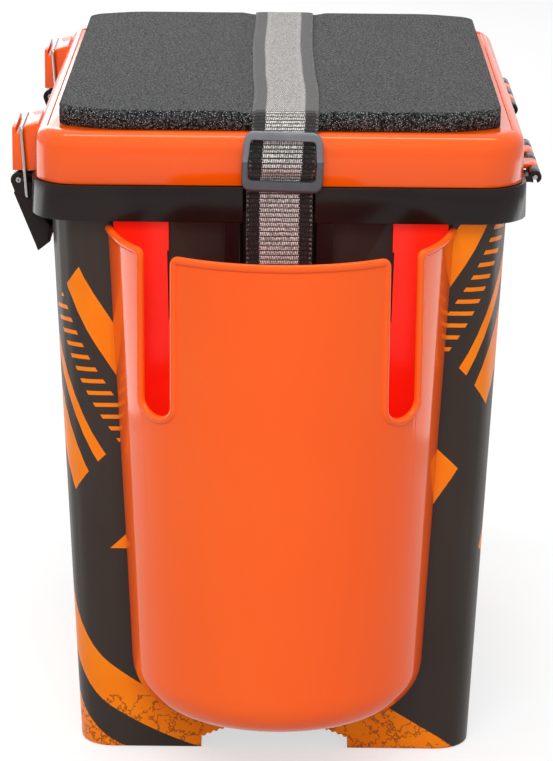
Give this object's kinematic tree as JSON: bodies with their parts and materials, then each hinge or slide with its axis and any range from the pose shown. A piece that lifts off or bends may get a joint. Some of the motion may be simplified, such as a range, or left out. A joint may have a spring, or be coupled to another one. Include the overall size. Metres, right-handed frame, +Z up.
{
  "type": "fishing seat box",
  "caption": "Tall tapered tackle tub with a hinged padded seat lid, toggle latches, a webbing carrying strap and a hang-on pocket.",
  "frame": {"origin": "on the floor, under the middle of the whole outline seen from above", "axes": "+Z up, -Y towards the pocket, +X towards the hinges, -X towards the latches"},
  "size_m": [0.3082, 0.463, 0.3937],
  "materials": {
    "black_plastic": "injection-moulded, satin",
    "orange_plastic": "injection-moulded, smooth",
    "pocket_plastic": "injection-moulded, glossy",
    "foam": "closed-cell foam, fine grain",
    "steel": "bright drawn wire",
    "webbing": "woven, grey band between black edges",
    "grey_plastic": "injection-moulded, satin"
  },
  "bodies": {
    "tub": {"tub": "black_plastic", "hinge_pin_front": "steel", "hinge_pin_rear": "steel", "latch_pivot_pin_front": "steel", "latch_pivot_pin_rear": "steel", "strap_anchor_front": "steel", "strap_anchor_rear": "steel", "strap_front_fall": "webbing", "strap_rear_fall": "webbing"},
    "lid": {"lid": "orange_plastic", "seat_pad": "foam", "strap_over_lid": "webbing", "strap_slider_loop": "webbing", "strap_slider": "grey_plastic"},
    "latch_lever_front": {"latch_lever_front": "black_plastic"},
    "latch_lever_rear": {"latch_lever_rear": "black_plastic"},
    "latch_bail_front": {"latch_bail_front": "steel"},
    "latch_bail_rear": {"latch_bail_rear": "steel"},
    "pocket": {"pocket": "pocket_plastic"}
  },
  "joints": [
    {"name": "lid_hinge", "type": "hinge", "parent": "tub", "child": "lid", "pos_m": [0.1504, 0.0385, 0.3498], "axis": [0, 1, 0], "range_deg": [0, 105], "deforming": ["strap_front_fall", "strap_rear_fall"]},
    {"name": "lever_front_pivot", "type": "hinge", "parent": "tub", "child": "latch_lever_front", "pos_m": [-0.1495, -0.0925, 0.3455], "axis": [0, 1, 0], "range_deg": [0, 110]},
    {"name": "lever_rear_pivot", "type": "hinge", "parent": "tub", "child": "latch_lever_rear", "pos_m": [-0.1495, 0.1695, 0.3455], "axis": [0, 1, 0], "range_deg": [0, 110]},
    {"name": "bail_front_pivot", "type": "hinge", "parent": "latch_lever_front", "child": "latch_bail_front", "pos_m": [-0.1443, -0.0925, 0.3359], "axis": [0, 1, 0], "range_deg": [-82.5, 0]},
    {"name": "bail_rear_pivot", "type": "hinge", "parent": "latch_lever_rear", "child": "latch_bail_rear", "pos_m": [-0.1443, 0.1695, 0.3359], "axis": [0, 1, 0], "range_deg": [-82.5, 0]},
    {"name": "pocket_slide", "type": "slide", "parent": "tub", "child": "pocket", "axis": [0, 0, -1], "range_m": [0, 0.03]}
  ],
  "couplings": [
    {"joint": "bail_front_pivot", "follows": "lever_front_pivot", "ratio": -0.75},
    {"joint": "bail_rear_pivot", "follows": "lever_rear_pivot", "ratio": -0.75}
  ]
}
